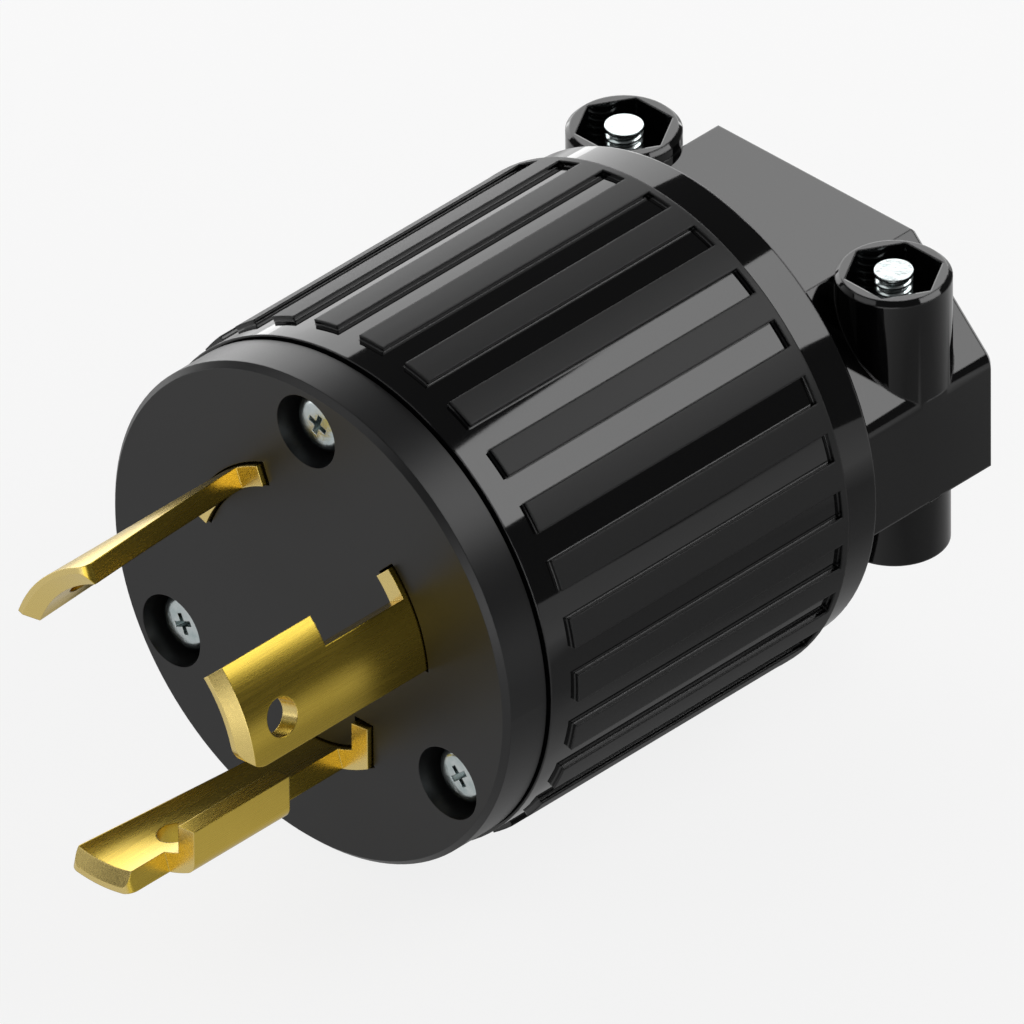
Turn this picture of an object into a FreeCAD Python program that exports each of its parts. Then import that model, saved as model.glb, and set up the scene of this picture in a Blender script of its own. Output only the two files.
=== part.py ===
import FreeCAD, Part
import math
import os
import re
import Sketcher

# Locking power plug. The plug's axis is Y: the mating face lies at y = 0, the
# blades point to -Y and the cord leaves to +Y. Z is up, along the clamp screws.
# The origin is the centre of the mating face. Angles run from +X towards +Z.

doc = FreeCAD.newDocument("locking_plug")

SIZES = {
    # How far a cut runs past the face that it leaves
    "cut_overrun": 1.0,
    # Front cap
    "cap_step": 0.3,
    "cap_thickness": 4.95,
    "cap_chamfer": 0.53,
    "seam_width": 0.35,
    "spigot_length": 3.7,
    "spigot_clearance": 0.2,
    # Shell
    "shell_radius": 24.5,
    "shell_wall": 2.4,
    "carrier_ledge": 1.6,
    "shell_length": 41.8,
    "rear_wall": 3.0,
    "ring_step": 0.4,
    "ring_length": 4.85,
    "ring_chamfer": 0.5,
    # Grip pads
    "pad_count": 28,
    "pad_height": 0.5,
    "pad_width_angle": 6.6,
    "pad_start": 8.2,
    "pad_land": 0.7,
    # Face screws and what they hold
    "face_screw_inset": 5.0,
    "face_screw_angle": 90,
    "counterbore_radius": 3.525,
    "counterbore_depth": 3.6,
    "face_head_radius": 2.9,
    "face_head_height": 2.2,
    "face_screw_length": 16,
    "thread_radius": 1.75,
    "screw_clearance": 0.2,
    "thread_clearance": 0.05,
    "post_radius": 3.0,
    "post_clearance": 0.2,
    "insert_radius": 2.4,
    "insert_length": 8.0,
    "insert_clearance": 0.05,
    "post_bore_depth": 12.0,
    # Blades
    "blade_radius": 12.65,
    "blade_thickness": 1.95,
    "blade_reach": 22.1,
    "blade_notch": 10.3,
    "bevel_depth": 1.4,
    "bevel_length": 0.8,
    "root_proud": 0.6,
    "blade_clearance": 0.15,
    "slot_end_angle": 1.0,
    "shoulder_angle": 6.0,
    "shoulder_thickness": 2.0,
    "neutral_start_angle": 4.7,
    "neutral_end_angle": 44.3,
    "neutral_notch_angle": 11.6,
    "neutral_corner": 2.2,
    "line_start_angle": 112.3,
    "line_end_angle": 159.5,
    "line_start_slant": 11.1,
    "line_end_slant": 10.5,
    "line_corner": 1.0,
    "blade_hole_radius": 1.8,
    "blade_hole_reach": 17.3,
    "neutral_hole_angle": 18.3,
    "line_hole_angle": 142.0,
    "ground_hole_angle": -79.0,
    "ground_hole_reach": 19.0,
    "ground_start_angle": -101.7,
    "ground_end_angle": -71.5,
    "ground_slant": 7.7,
    "ground_corner": 1.0,
    "ground_reach": 27.1,
    "ear_reach": 22.2,
    "ear_face": 7.7,
    "ear_top": -8.2,
    "ear_top_drop": 0.25,
    "ear_bend_fillet": 1.5,
    "ear_root_depth": 2.0,
    # Terminals
    "tail_width_angle": 30,
    "line_tail_length": 24.3,
    "neutral_tail_length": 20.0,
    "ground_tail_length": 22.5,
    "terminal_depth": 17.0,
    "neutral_terminal_angle": 30,
    "line_terminal_angle": 150,
    "ground_terminal_angle": -92,
    "wire_gap": 1.6,
    "plate_thickness": 1.6,
    "plate_width": 7.6,
    "plate_length": 8.0,
    "terminal_head_radius": 3.5,
    "terminal_head_height": 2.3,
    "terminal_screw_length": 8.2,
    # Terminal carrier
    "carrier_clearance": 0.3,
    "carrier_length": 18.0,
    "carrier_front_wall": 2.7,
    "carrier_rear_wall": 2.5,
    "chamber_width_angle": 36,
    "well_width_angle": 28,
    "well_depth": 4.6,
    "well_length": 5.0,
    "wire_hole_radius": 2.4,
    "wire_hole_circle": 16.4,
    # Cord clamp
    "clamp_length": 17.55,
    "clamp_inset": 2.7,
    "clamp_half_height": 14.7,
    "clamp_shoulder": 5.1,
    "clamp_parting": -6.0,
    "clamp_edge_fillet": 2.1,
    "clamp_rear_chamfer": 0.6,
    "jaw_clearance": 0.2,
    "cord_radius": 7.5,
    "tongue_half_width": 7.8,
    "tongue_top": -3.0,
    # Clamp bosses and fasteners
    "boss_inset": 4.95,
    "boss_setback": 9.8,
    "boss_top": 16.0,
    "boss_radius": 5.2,
    "boss_chamfer": 0.4,
    "nut_pocket_corner": 4.46,
    "nut_pocket_depth": 9.0,
    "nut_clearance": 0.15,
    "nut_thickness": 2.8,
    "lower_boss_bottom": -12.1,
    "lower_boss_radius": 5.0,
    "head_recess_radius": 3.8,
    "head_recess_depth": 2.5,
    "clamp_head_radius": 3.4,
    "clamp_head_height": 2.1,
    "clamp_screw_end": 16.1,
}

sheet = doc.addObject("Spreadsheet::Sheet", "sizes")
for row, (alias, number) in enumerate(SIZES.items(), start=1):
    sheet.set("A%d" % row, alias)
    sheet.set("B%d" % row, str(number))
    sheet.setAlias("B%d" % row, alias)
doc.recompute()

# Places that several pieces share, each written from the sizes above.
SHELL_FRONT = "(cap_thickness + seam_width)"
SHELL_REAR = "(%s + shell_length)" % SHELL_FRONT
CAP_RADIUS = "(shell_radius - cap_step)"
RING_RADIUS = "(shell_radius - ring_step)"
FACE_SCREWS = "(shell_radius - face_screw_inset)"
BORE = "(shell_radius - shell_wall)"
PAD_RADIUS = "(shell_radius + pad_height)"
RING_FRONT = "(%s - ring_length)" % SHELL_REAR
CAP_BACK = "(%s + spigot_length)" % SHELL_FRONT
CARRIER_BACK = "(%s + carrier_length)" % CAP_BACK
CHAMBER_FRONT = "(%s + carrier_front_wall)" % CAP_BACK
CHAMBER_BACK = "(%s - carrier_rear_wall)" % CARRIER_BACK
BLADE_OUTER = "(blade_radius + blade_thickness)"
PLATE_INNER = "(%s + wire_gap)" % BLADE_OUTER
PLATE_OUTER = "(%s + plate_thickness)" % PLATE_INNER
CLAMP_REAR = "(%s + clamp_length)" % SHELL_REAR
CLAMP_SIDE = "(%s - clamp_inset)" % RING_RADIUS
CLAMP_SLOPE = "(%s + clamp_shoulder)" % CLAMP_SIDE
BOSS_OFFSET = "(%s - boss_inset)" % CLAMP_SIDE
BOSS_STATION = "(%s + boss_setback)" % SHELL_REAR
BOSS_CENTRES = [(BOSS_OFFSET, BOSS_STATION), ("-" + BOSS_OFFSET, BOSS_STATION)]
EAR_BEND = "(-acos(ear_face / %s) / 1 deg)" % BLADE_OUTER
EAR_FOOT = "(-%s * sin(acos(ear_face / %s)))" % (BLADE_OUTER, BLADE_OUTER)
EAR_INNER = "(ear_face - blade_thickness)"
HEAD_SEAT = "(lower_boss_bottom + head_recess_depth)"
NUT_SEAT = "(boss_top - nut_pocket_depth)"

# In each origin plane, the local direction that points along the plug's axis,
# with the sense of a turn that carries +X towards +Z.
PLUG_AXIS = {
    "XY_Plane": FreeCAD.Vector(0, -1, 0),
    "XZ_Plane": FreeCAD.Vector(0, 0, 1),
    "YZ_Plane": FreeCAD.Vector(-1, 0, 0),
}
# How near an edge's middle lies to the corner that it is picked for.
CORNER_REACH = 1.0
bodies = []


def cells(text):
    """The expression text with every alias read from the sheet."""
    return re.sub(r"[a-z]+(_[a-z]+)+", r"sizes.\g<0>", text)


def value(text):
    """The number that an expression gives now."""
    return float(sheet.evalExpression(cells(text)))


def new_body(label):
    body = doc.addObject("PartDesign::Body", label)
    body.Label = label
    bodies.append(body)
    return body


def origin_part(body, role):
    return next(part for part in body.Origin.OriginFeatures if part.Role == role)


def new_sketch(body, name, plane, turn, offset):
    """A sketch on an origin plane, moved by offset and turned about the plug's axis."""
    sketch = body.newObject("Sketcher::SketchObject", name)
    sketch.AttachmentSupport = (origin_part(body, plane), [""])
    sketch.MapMode = "FlatFace"
    sketch.AttachmentOffset = FreeCAD.Placement(
        FreeCAD.Vector(), FreeCAD.Rotation(PLUG_AXIS[plane], 1.0 if turn else 0.0)
    )
    if turn:
        sketch.setExpression("AttachmentOffset.Rotation.Angle", cells(turn))
    for letter, text in zip("xyz", offset):
        if text != "0":
            sketch.setExpression("AttachmentOffset.Base." + letter, cells(text))
    return sketch


def hold(sketch, kind, where, text):
    """Adds one driving constraint whose value is bound to the sheet."""
    number = sketch.addConstraint(Sketcher.Constraint(kind, *where, value(text)))
    if "_" in text:
        sketch.setExpression("Constraints[%d]" % number, cells(text))


def outline(body, name, plane, points, turn=None, offset=("0", "0", "0")):
    """A closed outline of straight sides through points given as expressions."""
    sketch = new_sketch(body, name, plane, turn, offset)
    corners = [FreeCAD.Vector(value(across), value(up), 0) for across, up in points]
    count = len(corners)
    for side in range(count):
        line = Part.LineSegment(corners[side], corners[(side + 1) % count])
        sketch.addGeometry(line, False)
    for side in range(count):
        joined = Sketcher.Constraint("Coincident", side, 2, (side + 1) % count, 1)
        sketch.addConstraint(joined)
    for side, (across, up) in enumerate(points):
        hold(sketch, "DistanceX", (-1, 1, side, 1), across)
        hold(sketch, "DistanceY", (-1, 1, side, 1), up)
    return sketch


def circles(body, name, plane, centres, radius, turn=None, offset=("0", "0", "0")):
    sketch = new_sketch(body, name, plane, turn, offset)
    for number, (across, up) in enumerate(centres):
        centre = FreeCAD.Vector(value(across), value(up), 0)
        circle = Part.Circle(centre, FreeCAD.Vector(0, 0, 1), value(radius))
        sketch.addGeometry(circle, False)
        hold(sketch, "Radius", (number,), radius)
        hold(sketch, "DistanceX", (-1, 1, number, 3), across)
        hold(sketch, "DistanceY", (-1, 1, number, 3), up)
    return sketch


def rectangle(left, low, right, high):
    return [(left, low), (right, low), (right, high), (left, high)]


def hexagon(across, up, corner):
    return [
        ("%s + %s * cos(%d)" % (across, corner, angle), "%s + %s * sin(%d)" % (up, corner, angle))
        for angle in range(0, 360, 60)
    ]


def on_circle(radius, angle):
    return ("%s * cos(%s)" % (radius, angle), "%s * sin(%s)" % (radius, angle))


def revolve(body, kind, name, sketch, angle="360", axis="V_Axis"):
    """Adds or cuts a turned form, spread evenly to both sides of its sketch."""
    feature = body.newObject("PartDesign::" + kind, name)
    feature.Profile = sketch
    feature.ReferenceAxis = (sketch, [axis])
    feature.Midplane = angle != "360"
    feature.setExpression("Angle", cells(angle))
    return feature


def extrude(body, kind, name, sketch, length, reverse=False):
    feature = body.newObject("PartDesign::" + kind, name)
    feature.Profile = sketch
    feature.Reversed = reverse
    if length:
        feature.setExpression("Length", cells(length))
    else:
        feature.Type = "ThroughAll"
    return feature


def sector(body, kind, name, points, middle, spread):
    """A part ring about the plug's axis; its outline is given in radius and y."""
    sketch = outline(body, name + "_outline", "XY_Plane", points, turn=middle)
    return revolve(body, kind, name, sketch, spread)


def polar(body, name, feature, count):
    pattern = body.newObject("PartDesign::PolarPattern", name)
    pattern.Originals = [feature]
    pattern.Axis = (origin_part(body, "Y_Axis"), [""])
    pattern.Angle = 360
    pattern.setExpression("Occurrences", cells(count))
    body.Tip = pattern
    return pattern


def dress(body, kind, name, size, wanted):
    """Fillets or chamfers the edges whose midpoint passes the test wanted."""
    doc.recompute()
    tip = body.Tip
    names = []
    for number, edge in enumerate(tip.Shape.Edges, start=1):
        if wanted(edge.CenterOfMass):
            names.append("Edge%d" % number)
    feature = body.newObject("PartDesign::" + kind, name)
    feature.Base = (tip, names)
    feature.setExpression("Radius" if kind == "Fillet" else "Size", cells(size))
    return feature


def near(number, text):
    return abs(number - value(text)) < 0.01


def turned_screw(label, head_radius, head_height, length):
    """A screw on the Y axis: the head's top at y = 0, its point towards +Y."""
    body = new_body(label)
    end = "%s + %s" % (head_height, length)
    profile = outline(body, label + "_profile", "XY_Plane", [
        ("0", "0"),
        (head_radius, "0"),
        (head_radius, head_height),
        ("thread_radius", head_height),
        ("thread_radius", end),
        ("0", end),
    ])
    revolve(body, "Revolution", label + "_turned", profile)
    return body


# Front cap: a turned disc with a spigot that enters the shell and leaves a
# narrow seam between them, three curved blade slots with room behind for the
# blades' shoulders, and three sunk screw holes.
def make_front_cap():
    body = new_body("front_cap")
    profile = outline(body, "cap_profile", "XY_Plane", [
        ("0", "0"),
        ("%s - cap_chamfer" % CAP_RADIUS, "0"),
        (CAP_RADIUS, "cap_chamfer"),
        (CAP_RADIUS, "cap_thickness"),
        ("%s - spigot_clearance" % BORE, "cap_thickness"),
        ("%s - spigot_clearance" % BORE, CAP_BACK),
        ("0", CAP_BACK),
    ])
    revolve(body, "Revolution", "cap_disc", profile)
    for blade in ("line", "neutral", "ground"):
        middle, spread = blade_span(blade)
        inner = "blade_radius - blade_clearance"
        outer = "%s + blade_clearance" % BLADE_OUTER
        slot = rectangle(inner, "-cut_overrun", outer, "%s + cut_overrun" % CAP_BACK)
        sector(body, "Groove", blade + "_slot", slot, middle, "%s + 2 * slot_end_angle" % spread)
        seat = rectangle(inner, "%s - shoulder_thickness" % CAP_BACK,
                         outer, "%s + cut_overrun" % CAP_BACK)
        wide = "%s + 2 * (shoulder_angle + slot_end_angle)" % spread
        sector(body, "Groove", blade + "_shoulder_seat", seat, middle, wide)
    ear_slot = outline(body, "ear_slot_outline", "XZ_Plane", [
        ("ear_face - blade_thickness - blade_clearance", "-blade_radius"),
        ("ear_face + blade_clearance", EAR_FOOT),
        ("ear_face + blade_clearance", "ear_top + blade_clearance"),
        ("ear_face - blade_thickness - blade_clearance", "ear_top + blade_clearance"),
    ])
    extrude(body, "Pocket", "ear_slot", ear_slot, "ear_root_depth + blade_clearance")
    centre = [on_circle(FACE_SCREWS, "face_screw_angle")]
    recess = circles(body, "recess_circle", "XZ_Plane", centre, "counterbore_radius")
    polar(body, "recesses", extrude(body, "Pocket", "recess", recess, "counterbore_depth"), "3")
    hole = circles(body, "hole_circle", "XZ_Plane", centre, "thread_radius + screw_clearance")
    polar(body, "holes", extrude(body, "Pocket", "hole", hole, CAP_BACK), "3")


def blade_span(blade):
    """The middle and the spread of a blade's root, as expressions in degrees."""
    if blade == "ground":
        return ("(ground_start_angle + %s) / 2" % EAR_BEND, "(%s - ground_start_angle)" % EAR_BEND)
    return (
        "(%s_start_angle + %s_end_angle) / 2" % (blade, blade),
        "(%s_end_angle - %s_start_angle)" % (blade, blade),
    )


# Blades: each is a stamped strip bent to the blade circle, with a bevelled tip.
# It is narrower next to the face, so that it can turn and lock. The root fills
# the slot, shoulders behind the face hold it in the cap, and a narrower tail
# takes the terminal screw.
def make_blade(blade, reach):
    body = new_body(blade + "_blade")
    start = blade + "_start_angle"
    end = blade + "_end_angle"
    strip = rectangle("blade_radius", "-%s" % reach, BLADE_OUTER, "0")
    sector(body, "Revolution", blade + "_strip", strip,
           "(%s + %s) / 2" % (start, end), "%s - %s" % (end, start))
    return body


def round_tip(body, blade, ends, reach):
    """Rounds the tip's corner at each named end of the strip: start, end or both."""
    half_wall = "(blade_radius + blade_thickness / 2)"
    places = [on_circle(half_wall, "%s_%s_angle" % (blade, end)) for end in ends]
    corners = [(value(across), value(up)) for across, up in places]
    dress(body, "Fillet", blade + "_corners", blade + "_corner",
          lambda point: near(point.y, "-" + reach)
          and any(math.dist((point.x, point.z), corner) < CORNER_REACH for corner in corners))


def bevel_tip(body, blade, side, reach):
    """Bevels the tip on its outer side, or on its inner side where side is (-1)."""
    wall = BLADE_OUTER if side == "1" else "blade_radius"
    inside = "%s - %s * bevel_depth" % (wall, side)
    outside = "%s + %s * cut_overrun" % (wall, side)
    wedge = [
        (inside, "-%s" % reach),
        (wall, "bevel_length - %s" % reach),
        (outside, "bevel_length - %s" % reach),
        (outside, "-%s - cut_overrun" % reach),
        (inside, "-%s - cut_overrun" % reach),
    ]
    start = blade + "_start_angle"
    end = blade + "_end_angle"
    sector(body, "Groove", blade + "_bevel", wedge, "(%s + %s) / 2" % (start, end),
           "%s - %s + shoulder_angle" % (end, start))


def add_root(body, blade):
    """The part of the blade that stays in the cap, and its tail behind."""
    outer = BLADE_OUTER
    root_middle, root_spread = blade_span(blade)
    root = rectangle("blade_radius", "-root_proud", outer, CAP_BACK)
    sector(body, "Revolution", blade + "_root", root, root_middle, root_spread)
    shoulder = rectangle("blade_radius", "%s - shoulder_thickness" % CAP_BACK, outer, CAP_BACK)
    wide = "%s + 2 * shoulder_angle" % root_spread
    sector(body, "Revolution", blade + "_shoulder", shoulder, root_middle, wide)
    tail = rectangle("blade_radius", "%s - shoulder_thickness" % CAP_BACK, outer,
                     blade + "_tail_length")
    angle = blade + "_terminal_angle"
    sector(body, "Revolution", blade + "_tail", tail, angle, "tail_width_angle")
    drilling = circles(body, blade + "_terminal_circle", "YZ_Plane", [("terminal_depth", "0")],
                       "thread_radius + thread_clearance", turn=angle)
    extrude(body, "Pocket", blade + "_terminal_hole", drilling, None, reverse=True)


def notch(body, name, edge, spread):
    """Cuts the locking notch back from one edge of the blade, next to the face."""
    cut = rectangle("blade_radius - cut_overrun", "-blade_notch", "%s + cut_overrun" % BLADE_OUTER,
                    "-root_proud")
    sector(body, "Groove", name, cut, edge, "2 * " + spread)


def blade_hole(body, name, angle, reach):
    circle = circles(body, name + "_circle", "YZ_Plane", [("-%s" % reach, "0")],
                     "blade_hole_radius", turn=angle)
    extrude(body, "Pocket", name, circle, None, reverse=True)


def slant(body, name, edge, reach, spread, side):
    """Slants a blade's edge: full width at the tip, narrower by spread at the face."""
    high = "%s * %s * tan(%s)" % (side, BLADE_OUTER, spread)
    wedge = outline(body, name + "_outline", "YZ_Plane", [
        ("-%s" % reach, "0"),
        ("-root_proud", high),
        ("-root_proud", "%s * -cut_overrun" % side),
        ("-%s" % reach, "%s * -cut_overrun" % side),
    ], turn=edge)
    extrude(body, "Pocket", name, wedge, None, reverse=True)


def make_blades():
    neutral = make_blade("neutral", "blade_reach")
    round_tip(neutral, "neutral", ("start",), "blade_reach")
    bevel_tip(neutral, "neutral", "1", "blade_reach")
    notch(neutral, "neutral_notch", "neutral_end_angle", "neutral_notch_angle")
    add_root(neutral, "neutral")
    blade_hole(neutral, "neutral_hole", "neutral_hole_angle", "blade_hole_reach")

    line = make_blade("line", "blade_reach")
    slant(line, "line_start_slant", "line_start_angle", "blade_reach", "line_start_slant", "1")
    slant(line, "line_end_slant", "line_end_angle", "blade_reach", "line_end_slant", "-1")
    round_tip(line, "line", ("start",), "blade_reach")
    bevel_tip(line, "line", "(-1)", "blade_reach")
    add_root(line, "line")
    blade_hole(line, "line_hole", "line_hole_angle", "blade_hole_reach")

    ground = make_blade("ground", "ground_reach")
    slant(ground, "ground_slant", "ground_start_angle", "ground_reach", "ground_slant", "1")
    round_tip(ground, "ground", ("start", "end"), "ground_reach")
    bevel_tip(ground, "ground", "(-1)", "ground_reach")
    add_root(ground, "ground")
    blade_hole(ground, "ground_hole", "ground_hole_angle", "ground_hole_reach")
    make_ear(ground)


def make_ear(body):
    """The ground blade's inward ear, bent from a web beside the strip."""
    web = rectangle("blade_radius", "-ear_reach", BLADE_OUTER, "-blade_notch")
    overlap = "(ground_end_angle - slot_end_angle)"
    sector(body, "Revolution", "ground_web", web,
           "(%s + %s) / 2" % (EAR_BEND, overlap), "%s - %s" % (EAR_BEND, overlap))
    inner_foot = "-blade_radius * sin(acos(%s / blade_radius)) - blade_thickness / 2" % EAR_INNER
    for name, front, length in (
        ("ear", "ear_reach", "ear_reach - blade_notch"),
        ("ear_root", "root_proud", "root_proud + ear_root_depth"),
    ):
        plate = outline(body, name + "_outline", "XZ_Plane", [
            (EAR_INNER, inner_foot),
            ("ear_face", EAR_FOOT),
            ("ear_face", "ear_top"),
            (EAR_INNER, "ear_top - ear_top_drop"),
        ], offset=("0", "0", front))
        extrude(body, "Pad", name, plate, length, reverse=True)
    dress(body, "Fillet", "ear_bend", "ear_bend_fillet",
          lambda point: near(point.x, "ear_face") and near(point.z, EAR_FOOT)
          and point.y < 0)


# Terminal carrier: the moulded block behind the cap. Each blade's tail passes
# its front wall into a chamber that is open to the side for the screw and has
# a well for the screw's end and a wire hole in its rear wall. Three flutes
# clear the shell's screw posts.
def make_carrier():
    body = new_body("terminal_carrier")
    radius = "(%s - carrier_clearance)" % BORE
    profile = outline(body, "carrier_profile", "XY_Plane",
                      rectangle("0", CAP_BACK, radius, CARRIER_BACK))
    revolve(body, "Revolution", "carrier_block", profile)
    for blade in ("line", "neutral", "ground"):
        angle = blade + "_terminal_angle"
        floor = "blade_radius - blade_clearance"
        passage = rectangle(floor, "%s - cut_overrun" % CAP_BACK,
                            "%s + blade_clearance" % BLADE_OUTER,
                            "%s + cut_overrun" % CHAMBER_FRONT)
        sector(body, "Groove", blade + "_passage", passage, angle,
               "tail_width_angle + 2 * slot_end_angle")
        chamber = rectangle(floor, CHAMBER_FRONT, "%s + cut_overrun" % radius, CHAMBER_BACK)
        sector(body, "Groove", blade + "_chamber", chamber, angle, "chamber_width_angle")
        well = rectangle("blade_radius - well_depth", "terminal_depth - well_length / 2",
                         "blade_radius + cut_overrun", "terminal_depth + well_length / 2")
        sector(body, "Groove", blade + "_well", well, angle, "well_width_angle")
        entry = circles(body, blade + "_wire_circle", "XZ_Plane",
                        [on_circle("wire_hole_circle", angle)], "wire_hole_radius",
                        offset=("0", "0", "-%s - cut_overrun" % CARRIER_BACK))
        extrude(body, "Pocket", blade + "_wire_hole", entry, "carrier_rear_wall + 2 * cut_overrun",
                reverse=True)
    centre = [on_circle(FACE_SCREWS, "face_screw_angle")]
    flute = circles(body, "flute_circle", "XZ_Plane", centre, "post_radius + post_clearance",
                    offset=("0", "0", "-%s + cut_overrun" % CAP_BACK))
    channel = extrude(body, "Pocket", "flute", flute, "carrier_length + 2 * cut_overrun")
    polar(body, "flutes", channel, "3")


# Shell: a turned barrel with a front band, a land for the grip pads and a rear
# ring; grooves between the pads; three screw posts inside; and the upper half
# of the cord clamp moulded on behind, with two bosses that hold the nuts.
def make_shell():
    body = new_body("body_shell")
    inside = "%s - rear_wall" % SHELL_REAR
    profile = outline(body, "shell_profile", "XY_Plane", [
        (BORE, SHELL_FRONT),
        ("shell_radius", SHELL_FRONT),
        ("shell_radius", "pad_start"),
        (PAD_RADIUS, "pad_start"),
        (PAD_RADIUS, RING_FRONT),
        (RING_RADIUS, RING_FRONT),
        (RING_RADIUS, "%s - ring_chamfer" % SHELL_REAR),
        ("%s - ring_chamfer" % RING_RADIUS, SHELL_REAR),
        ("0", SHELL_REAR),
        ("0", inside),
        ("%s - carrier_ledge" % BORE, inside),
        ("%s - carrier_ledge" % BORE, CARRIER_BACK),
        (BORE, CARRIER_BACK),
    ])
    revolve(body, "Revolution", "barrel", profile)
    valley = rectangle("shell_radius", "pad_start - cut_overrun", "%s + cut_overrun" % PAD_RADIUS,
                       "%s - pad_land" % RING_FRONT)
    groove = sector(body, "Groove", "valley", valley, "180 / pad_count",
                    "360 / pad_count - pad_width_angle")
    polar(body, "valleys", groove, "pad_count")

    slope_end = "(%s - clamp_half_height)" % CLAMP_SLOPE
    yoke = outline(body, "yoke_outline", "XZ_Plane", [
        (CLAMP_SIDE, "clamp_parting"),
        (CLAMP_SIDE, "clamp_shoulder"),
        (slope_end, "clamp_half_height"),
        ("-" + slope_end, "clamp_half_height"),
        ("-" + CLAMP_SIDE, "clamp_shoulder"),
        ("-" + CLAMP_SIDE, "clamp_parting"),
    ], offset=("0", "0", "rear_wall / 2 - %s" % SHELL_REAR))
    extrude(body, "Pad", "yoke", yoke, "clamp_length + rear_wall / 2", reverse=True)
    dress(body, "Fillet", "yoke_long_edges", "clamp_edge_fillet",
          lambda point: near(abs(point.x), CLAMP_SIDE) and near(point.z, "clamp_shoulder"))
    dress(body, "Chamfer", "yoke_rear_edges", "clamp_rear_chamfer",
          lambda point: near(point.y, CLAMP_REAR) and not near(point.z, "clamp_parting"))

    top = ("0", "0", "boss_top")
    bosses = circles(body, "boss_circles", "XY_Plane", BOSS_CENTRES, "boss_radius", offset=top)
    extrude(body, "Pad", "bosses", bosses, "boss_top", reverse=True)
    dress(body, "Chamfer", "boss_rims", "boss_chamfer", lambda point: near(point.z, "boss_top"))
    for side, (across, along) in zip(("right", "left"), BOSS_CENTRES):
        pocket = outline(body, side + "_nut_outline", "XY_Plane",
                         hexagon(across, along, "nut_pocket_corner"), offset=top)
        extrude(body, "Pocket", side + "_nut_pocket", pocket, "nut_pocket_depth")
    holes = circles(body, "clamp_hole_circles", "XY_Plane", BOSS_CENTRES,
                    "thread_radius + screw_clearance", offset=top)
    extrude(body, "Pocket", "clamp_holes", holes, "boss_top - clamp_parting + cut_overrun")

    bore = circles(body, "cord_circle", "XZ_Plane", [("0", "0")], "cord_radius",
                   offset=("0", "0", "-%s - cut_overrun" % CLAMP_REAR))
    extrude(body, "Pocket", "cord_bore", bore, "clamp_length + rear_wall + 2 * cut_overrun",
            reverse=True)
    channel = outline(body, "channel_outline", "XZ_Plane",
                      rectangle("-tongue_half_width - jaw_clearance", "clamp_parting - cut_overrun",
                                "tongue_half_width + jaw_clearance", "tongue_top + jaw_clearance"),
                      offset=("0", "0", "-%s - cut_overrun" % CLAMP_REAR))
    extrude(body, "Pocket", "channel", channel, "clamp_length + cut_overrun", reverse=True)

    centre = [on_circle(FACE_SCREWS, "face_screw_angle")]
    front = ("0", "0", "-%s - post_clearance" % CAP_BACK)
    post = circles(body, "post_circle", "XZ_Plane", centre, "post_radius", offset=front)
    length = "%s - rear_wall / 2 - %s - post_clearance" % (SHELL_REAR, CAP_BACK)
    polar(body, "posts", extrude(body, "Pad", "post", post, length, reverse=True), "3")
    bore = circles(body, "post_bore_circle", "XZ_Plane", centre,
                   "insert_radius + insert_clearance", offset=front)
    polar(body, "post_bores", extrude(body, "Pocket", "post_bore", bore, "post_bore_depth"), "3")


# Lower clamp jaw: it closes the clamp from below, with a tongue that enters the
# yoke's channel under the cord and two short bosses with sunk screw heads.
def make_jaw():
    body = new_body("clamp_jaw")
    front = "%s + jaw_clearance" % SHELL_REAR
    length = "clamp_length - jaw_clearance"
    slope_start = "(clamp_parting + %s)" % CLAMP_SLOPE
    slope_end = "(%s - clamp_half_height)" % CLAMP_SLOPE
    block = outline(body, "jaw_outline", "XZ_Plane", [
        (slope_start, "clamp_parting"),
        ("tongue_half_width", "clamp_parting"),
        ("tongue_half_width", "tongue_top"),
        ("-tongue_half_width", "tongue_top"),
        ("-tongue_half_width", "clamp_parting"),
        ("-" + slope_start, "clamp_parting"),
        ("-" + slope_end, "-clamp_half_height"),
        (slope_end, "-clamp_half_height"),
    ], offset=("0", "0", "-(%s)" % front))
    extrude(body, "Pad", "jaw_block", block, length, reverse=True)
    dress(body, "Chamfer", "jaw_rear_edges", "clamp_rear_chamfer",
          lambda point: near(point.y, CLAMP_REAR) and point.z < value("clamp_parting") - 0.01)
    bottom = ("0", "0", "lower_boss_bottom")
    bosses = circles(body, "lower_boss_circles", "XY_Plane", BOSS_CENTRES, "lower_boss_radius",
                     offset=bottom)
    extrude(body, "Pad", "lower_bosses", bosses, "clamp_parting - lower_boss_bottom")
    spots = circles(body, "spot_circles", "XY_Plane", BOSS_CENTRES, "lower_boss_radius",
                    offset=("0", "0", "-clamp_half_height - cut_overrun"))
    extrude(body, "Pocket", "spot_faces", spots, "lower_boss_bottom + clamp_half_height + cut_overrun",
            reverse=True)
    recess = circles(body, "head_recess_circles", "XY_Plane", BOSS_CENTRES, "head_recess_radius",
                     offset=bottom)
    extrude(body, "Pocket", "head_recesses", recess, "head_recess_depth", reverse=True)
    holes = circles(body, "jaw_hole_circles", "XY_Plane", BOSS_CENTRES,
                    "thread_radius + screw_clearance", offset=bottom)
    extrude(body, "Pocket", "jaw_holes", holes, "clamp_parting - lower_boss_bottom + cut_overrun",
            reverse=True)
    saddle = circles(body, "saddle_circle", "XZ_Plane", [("0", "0")], "cord_radius",
                     offset=("0", "0", "-%s - cut_overrun" % CLAMP_REAR))
    extrude(body, "Pocket", "saddle", saddle, "clamp_length + 2 * cut_overrun", reverse=True)


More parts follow.
